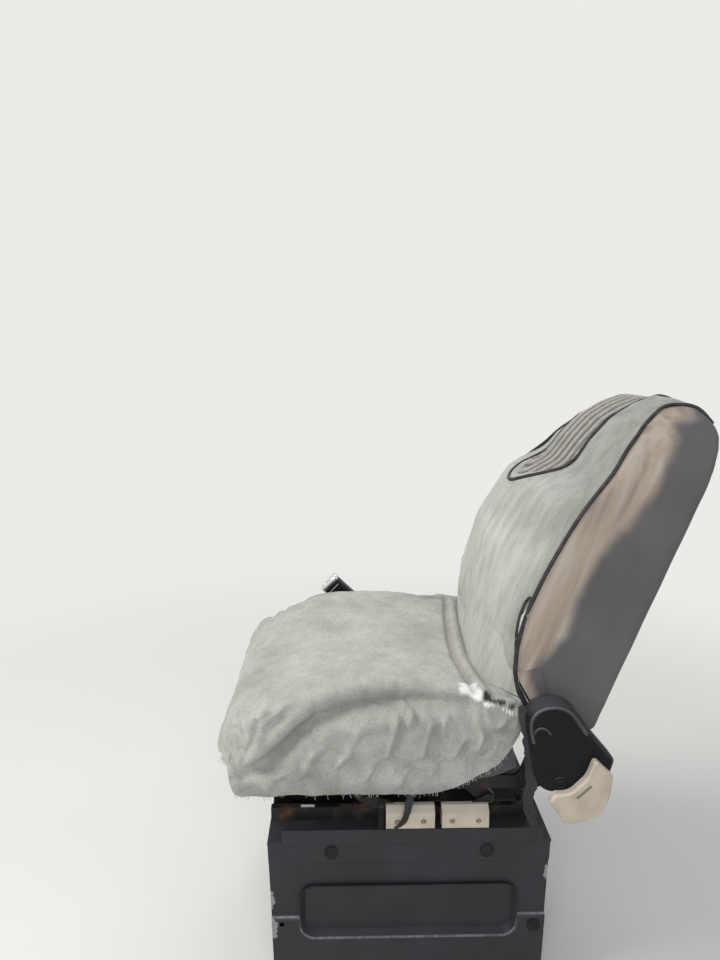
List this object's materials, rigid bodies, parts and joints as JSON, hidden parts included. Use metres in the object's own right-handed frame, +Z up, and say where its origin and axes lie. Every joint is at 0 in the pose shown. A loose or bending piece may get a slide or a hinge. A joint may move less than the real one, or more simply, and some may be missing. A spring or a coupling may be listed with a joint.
{
  "type": "truck driver's seat on a seat box",
  "caption": "High-back driver's seat with a loose cloth cover, sliding and reclining on a pressed steel seat box with floor flanges.",
  "frame": {"origin": "on the floor, in the middle of the four floor bolts of the seat box", "axes": "+Z up; -Y is the way the seat faces; +X is the door side, with the height grips and the recliner lever"},
  "size_m": [0.5713, 0.7859, 1.015],
  "materials": {
    "box_paint": "satin, scuffed",
    "rubber": "matt",
    "black_steel": "satin, a little rust",
    "spring_steel": "dull",
    "cream_plastic": "moulded, aged",
    "black_plastic": "moulded, fine grain",
    "foam": "open foam behind vinyl skirts",
    "cover_cloth": "loose cotton plush, worn",
    "back_cloth": "short pile, worn",
    "vinyl": "grained vinyl"
  },
  "bodies": {
    "base": {"box_side_left": "box_paint", "box_side_right": "box_paint", "box_front": "box_paint", "box_rear": "box_paint", "box_top": "box_paint", "box_plugs": "rubber", "floor_flange_left": "box_paint", "floor_flange_right": "box_paint", "rail_left": "black_steel", "rail_right": "black_steel"},
    "carriage": {"runner_left": "black_steel", "runner_right": "black_steel", "height_link_front": "black_steel", "height_link_rear": "black_steel", "grip_front": "cream_plastic", "grip_rear": "cream_plastic", "grip_arm_front": "black_steel", "grip_arm_rear": "black_steel", "release_bar": "black_steel", "cushion_frame": "black_steel", "cushion_springs": "spring_steel", "cushion_pad": "foam", "cushion_cover": "cover_cloth", "recliner_plate_left": "black_steel", "recliner_plate_right": "black_steel", "recliner_rod": "black_steel", "recliner_cap_left": "black_plastic", "recliner_cap_right": "black_plastic", "recliner_lever": "cream_plastic", "buckle_stalk": "black_plastic", "belt_buckle": "black_plastic"},
    "backrest": {"backrest_pad": "back_cloth", "backrest_board": "vinyl", "arm_plate_left": "black_steel", "arm_plate_right": "black_steel"}
  },
  "joints": [
    {"name": "seat_slide", "type": "slide", "parent": "base", "child": "carriage", "axis": [0, -1, 0], "range_m": [0, 0.16]},
    {"name": "backrest_recline", "type": "hinge", "parent": "carriage", "child": "backrest", "pos_m": [0, 0.212, 0.471], "axis": [-1, 0, 0], "range_deg": [-8, 20]}
  ]
}
